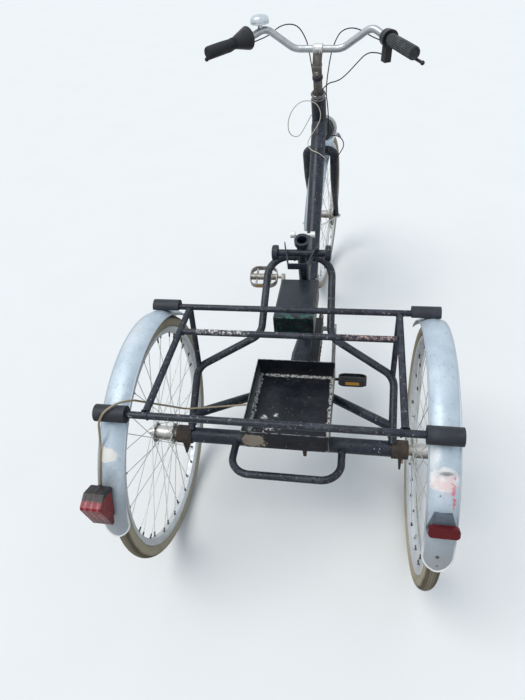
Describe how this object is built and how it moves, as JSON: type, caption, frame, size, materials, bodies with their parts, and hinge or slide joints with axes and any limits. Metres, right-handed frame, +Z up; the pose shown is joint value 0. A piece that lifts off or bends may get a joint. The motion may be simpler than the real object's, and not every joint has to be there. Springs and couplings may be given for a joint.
{
  "type": "motor trike",
  "caption": "Step-through pedal tricycle with a battery tray, control box and open carrier rails between two rear wheels; saddle missing.",
  "frame": {"origin": "on the floor, at the middle of the footprint's length and width", "axes": "+Y forward to the steered front wheel, +Z up, +X to the rider's right"},
  "size_m": [0.79, 1.9918, 1.1549],
  "materials": {
    "black_paint": "worn black paint with a blue-grey cast, scuffed at the edges",
    "carrier_paint": "worn dark grey-blue paint, chipped to pale metal",
    "guard_silver": "silver paint, slightly dulled",
    "tyre": "cream tyre wall, dusty",
    "rim": "bright aluminium, satin",
    "spoke": "zinc-plated wire",
    "hub": "plated steel, dull underneath",
    "rubber": "matte black rubber",
    "bearing": "rusty brown cast housing",
    "red_lens": "red translucent lens",
    "lead": "tan insulated wire, dusty",
    "white_wire": "off-white insulated wire",
    "black_plastic": "black moulded plastic, scuffed",
    "bar_metal": "polished aluminium, light pitting",
    "stem_metal": "dull grey-brown steel",
    "chrome": "bright chrome",
    "chain": "oiled, rusty steel"
  },
  "bodies": {
    "frame": {"axle_bearings": "bearing", "axle_tube": "black_paint", "battery_tray": "black_paint", "bottom_bracket_shell": "black_paint", "carrier_bars": "carrier_paint", "carrier_side_rails": "carrier_paint", "carrier_struts": "carrier_paint", "chain_guard": "black_plastic", "chassis_tubes": "black_paint", "control_box": "black_plastic", "drive_chain": "chain", "head_tube": "black_paint", "lamp_lead": "lead", "loop_wire": "white_wire", "lower_stays": "black_paint", "main_tube": "black_paint", "rail_end_caps": "rubber", "rear_beam": "black_paint", "rear_hoop": "black_paint", "rear_left_mudguard": "guard_silver", "rear_reflector": "red_lens", "rear_right_mudguard": "guard_silver", "reflector_bracket": "guard_silver", "saddle_mount": "black_paint", "seat_clamp": "spoke", "seat_tube": "black_paint", "tail_lamp_base": "black_plastic", "tail_lamp_lens": "red_lens", "tray_bearers": "black_paint"},
    "steering": {"bell": "chrome", "brake_levers": "black_plastic", "control_cables": "rubber", "fork": "black_paint", "front_guard_stays": "spoke", "front_mudguard": "guard_silver", "grips": "rubber", "handlebar": "bar_metal", "headlamp": "black_plastic", "headlamp_rim": "chrome", "stem": "stem_metal"},
    "front_wheel": {"front_hub": "hub", "front_rim": "rim", "front_spokes": "spoke", "front_tyre": "tyre"},
    "wheel_left": {"rear_left_hub": "hub", "rear_left_rim": "rim", "rear_left_spokes": "spoke", "rear_left_tyre": "tyre"},
    "wheel_right": {"axle_sprocket": "chain", "rear_right_hub": "hub", "rear_right_rim": "rim", "rear_right_spokes": "spoke", "rear_right_tyre": "tyre"},
    "crankset": {"crankset": "spoke"},
    "pedal_left": {"pedal_left": "black_plastic"},
    "pedal_right": {"pedal_right": "black_plastic"}
  },
  "joints": [
    {"name": "steering_turn", "type": "hinge", "parent": "frame", "child": "steering", "pos_m": [0, 0.50123, 0.74809], "axis": [0, -0.2756, 0.9613], "range_deg": [-39.5, 50.5]},
    {"name": "front_wheel_spin", "type": "hinge", "parent": "steering", "child": "front_wheel", "pos_m": [0.00407, 0.66427, 0.33295], "axis": [0.9954, -0.0921, -0.0264], "continuous": true},
    {"name": "left_wheel_spin", "type": "hinge", "parent": "frame", "child": "wheel_left", "pos_m": [-0.351, -0.62454, 0.333], "axis": [1, 0, 0], "continuous": true},
    {"name": "right_wheel_spin", "type": "hinge", "parent": "frame", "child": "wheel_right", "pos_m": [0.351, -0.62454, 0.333], "axis": [1, 0, 0], "continuous": true},
    {"name": "crank_spin", "type": "hinge", "parent": "frame", "child": "crankset", "pos_m": [0, -0.09654, 0.298], "axis": [1, 0, 0], "continuous": true},
    {"name": "left_pedal_spin", "type": "hinge", "parent": "crankset", "child": "pedal_left", "pos_m": [-0.092, 0.00818, 0.43696], "axis": [1, 0, 0], "continuous": true},
    {"name": "right_pedal_spin", "type": "hinge", "parent": "crankset", "child": "pedal_right", "pos_m": [0.092, -0.20125, 0.15904], "axis": [1, 0, 0], "continuous": true}
  ]
}
